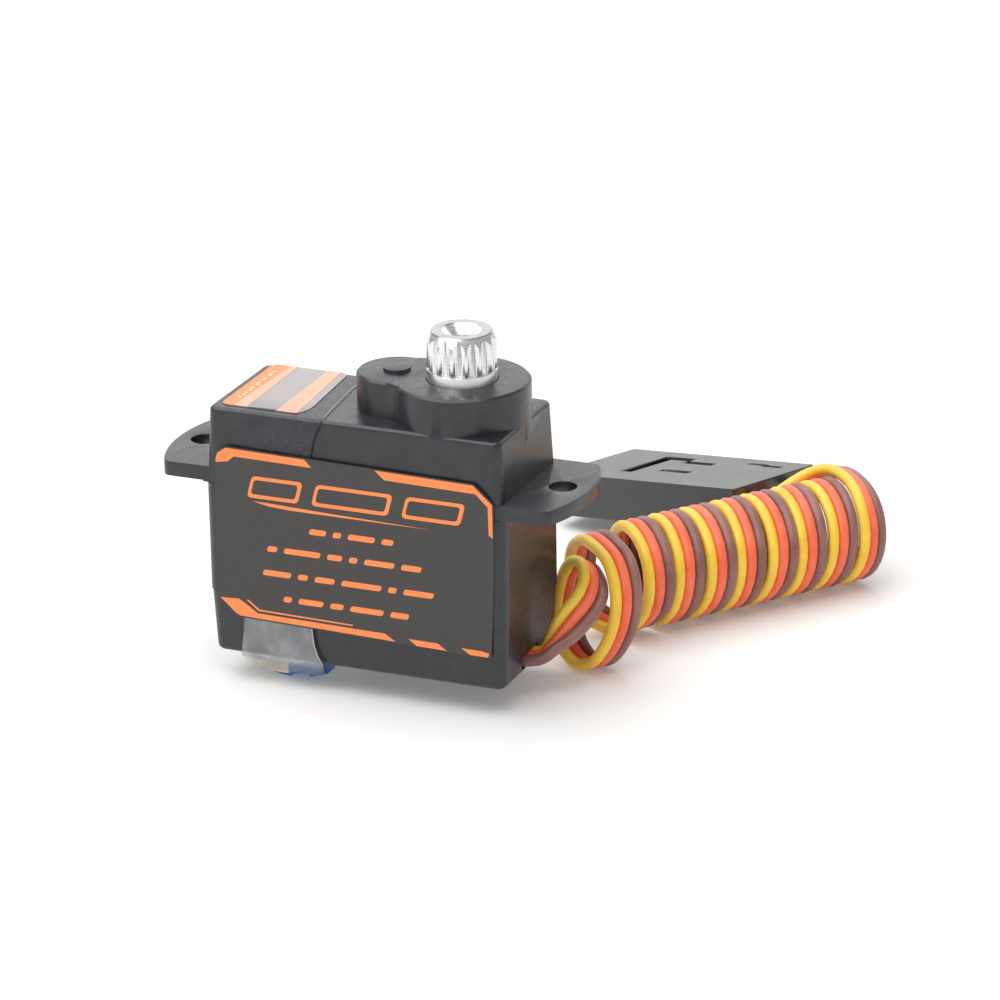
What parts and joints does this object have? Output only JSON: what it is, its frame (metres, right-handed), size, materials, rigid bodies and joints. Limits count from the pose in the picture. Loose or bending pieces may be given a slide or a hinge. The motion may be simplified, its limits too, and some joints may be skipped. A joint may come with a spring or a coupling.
{
  "type": "hobby servo motor",
  "caption": "Small black hobby servo: boxed case with mounting ears at both ends, ridged metal output shaft, geared motor inside, and a coiled coloured lead to a black plug.",
  "frame": {"origin": "on the output shaft's axis, level with the top of the boss it stands on", "axes": "+Z along the output shaft, away from the case; +X along the case, towards the output end and the lead; -Y towards the printed front"},
  "size_m": [0.0355, 0.0359, 0.021],
  "materials": {
    "case_plastic": "matte, fine grain",
    "spline_metal": "polished",
    "steel": "ground",
    "gear_nylon": "moulded",
    "brass": "plain",
    "motor_steel": "plated",
    "magnet": "dull",
    "copper": "wound",
    "cream_plastic": "moulded",
    "blue_plastic": "moulded",
    "pot_resin": "moulded",
    "board": "coated",
    "chip": "moulded",
    "capacitor": "plain",
    "wire_yellow": "soft, satin",
    "wire_orange": "soft, satin",
    "wire_brown": "soft, satin",
    "label_dark": "printed film",
    "label_orange": "printed film",
    "tape": "clear film",
    "plug_plastic": "moulded"
  },
  "bodies": {
    "case": {"upper_case": "case_plastic", "middle_case": "case_plastic", "bottom_cover": "case_plastic", "first_axle": "steel", "second_axle": "steel", "motor_can": "motor_steel", "motor_magnets": "magnet", "motor_bushing": "brass", "motor_brushes": "copper", "motor_end_bell": "cream_plastic", "motor_end_cap": "blue_plastic", "pot_body": "pot_resin", "pot_track": "pot_resin", "pot_terminals": "brass", "circuit_board": "board", "control_chip": "chip", "driver_chips": "chip", "capacitors": "capacitor", "motor_terminals": "brass", "inner_wire_signal": "wire_yellow", "inner_wire_power": "wire_orange", "inner_wire_ground": "wire_brown", "front_label": "label_dark", "top_label": "label_orange", "clear_tape": "tape", "lead_start_signal": "wire_yellow", "lead_start_power": "wire_orange", "lead_start_ground": "wire_brown", "lead_coil": "wire_orange", "lead_end_signal": "wire_yellow", "lead_end_power": "wire_orange", "lead_end_ground": "wire_brown", "plug_housing": "plug_plastic", "plug_contacts": "brass"},
    "rotor": {"motor_pinion": "brass", "motor_shaft": "steel", "motor_armature": "copper"},
    "first_gear": {"first_gear": "gear_nylon"},
    "second_gear": {"second_gear": "gear_nylon"},
    "third_gear": {"third_gear": "gear_nylon"},
    "fourth_gear": {"fourth_gear": "gear_nylon"},
    "output": {"output_gear": "spline_metal", "output_pin": "steel", "pot_wiper": "brass"}
  },
  "joints": [
    {"name": "rotor_spin", "type": "hinge", "parent": "case", "child": "rotor", "pos_m": [-0.0099, 0, -0.004], "axis": [0, 0, 1], "range_deg": [-18140, 18140]},
    {"name": "first_gear_spin", "type": "hinge", "parent": "case", "child": "first_gear", "pos_m": [-0.0069, 0, -0.004], "axis": [0, 0, 1], "range_deg": [-7775, 7775]},
    {"name": "second_gear_spin", "type": "hinge", "parent": "case", "child": "second_gear", "pos_m": [-0.0039, 0, -0.004], "axis": [0, 0, 1], "range_deg": [-3332, 3332]},
    {"name": "third_gear_spin", "type": "hinge", "parent": "case", "child": "third_gear", "pos_m": [0, 0, -0.004], "axis": [0, 0, 1], "range_deg": [-1000, 1000]},
    {"name": "fourth_gear_spin", "type": "hinge", "parent": "case", "child": "fourth_gear", "pos_m": [-0.0039, 0, -0.004], "axis": [0, 0, 1], "range_deg": [-300, 300]},
    {"name": "output_turn", "type": "hinge", "parent": "case", "child": "output", "pos_m": [0, 0, -0.004], "axis": [0, 0, 1], "range_deg": [-90, 90]}
  ],
  "couplings": [
    {"joint": "first_gear_spin", "follows": "rotor_spin", "ratio": -0.42857},
    {"joint": "second_gear_spin", "follows": "rotor_spin", "ratio": 0.18367},
    {"joint": "third_gear_spin", "follows": "rotor_spin", "ratio": -0.055102},
    {"joint": "fourth_gear_spin", "follows": "rotor_spin", "ratio": 0.016531},
    {"joint": "output_turn", "follows": "rotor_spin", "ratio": -0.0049592}
  ]
}
